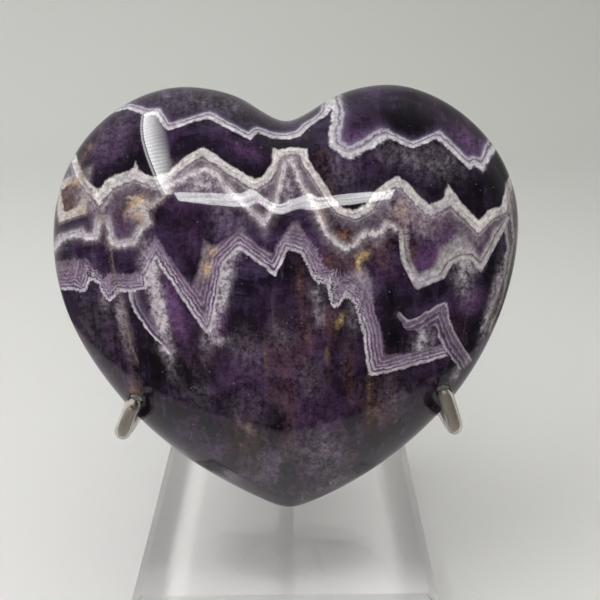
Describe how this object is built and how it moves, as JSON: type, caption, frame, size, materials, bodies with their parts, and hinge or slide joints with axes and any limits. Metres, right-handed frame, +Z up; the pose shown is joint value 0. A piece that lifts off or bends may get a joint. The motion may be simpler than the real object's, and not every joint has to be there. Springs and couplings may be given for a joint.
{
  "type": "polished stone heart on a display stand",
  "caption": "Puffed heart of polished banded amethyst, leaning back in the padded hooks of a bent wire stand with a square clear block.",
  "frame": {"origin": "centre of the block's underside", "axes": "+Z up, -Y out of the heart's face towards the viewer, +X to the viewer's right"},
  "size_m": [0.1147, 0.0762, 0.1282],
  "materials": {
    "amethyst": "polished",
    "acrylic": "clear, polished",
    "steel": "satin",
    "vinyl": "clear, soft"
  },
  "bodies": {
    "root": {"amethyst_heart": "amethyst", "acrylic_base": "acrylic", "post": "steel", "left_arm": "steel", "right_arm": "steel", "left_back_arm": "steel", "right_back_arm": "steel", "left_sleeve": "vinyl", "right_sleeve": "vinyl", "left_back_sleeve": "vinyl", "right_back_sleeve": "vinyl"}
  },
  "joints": []
}
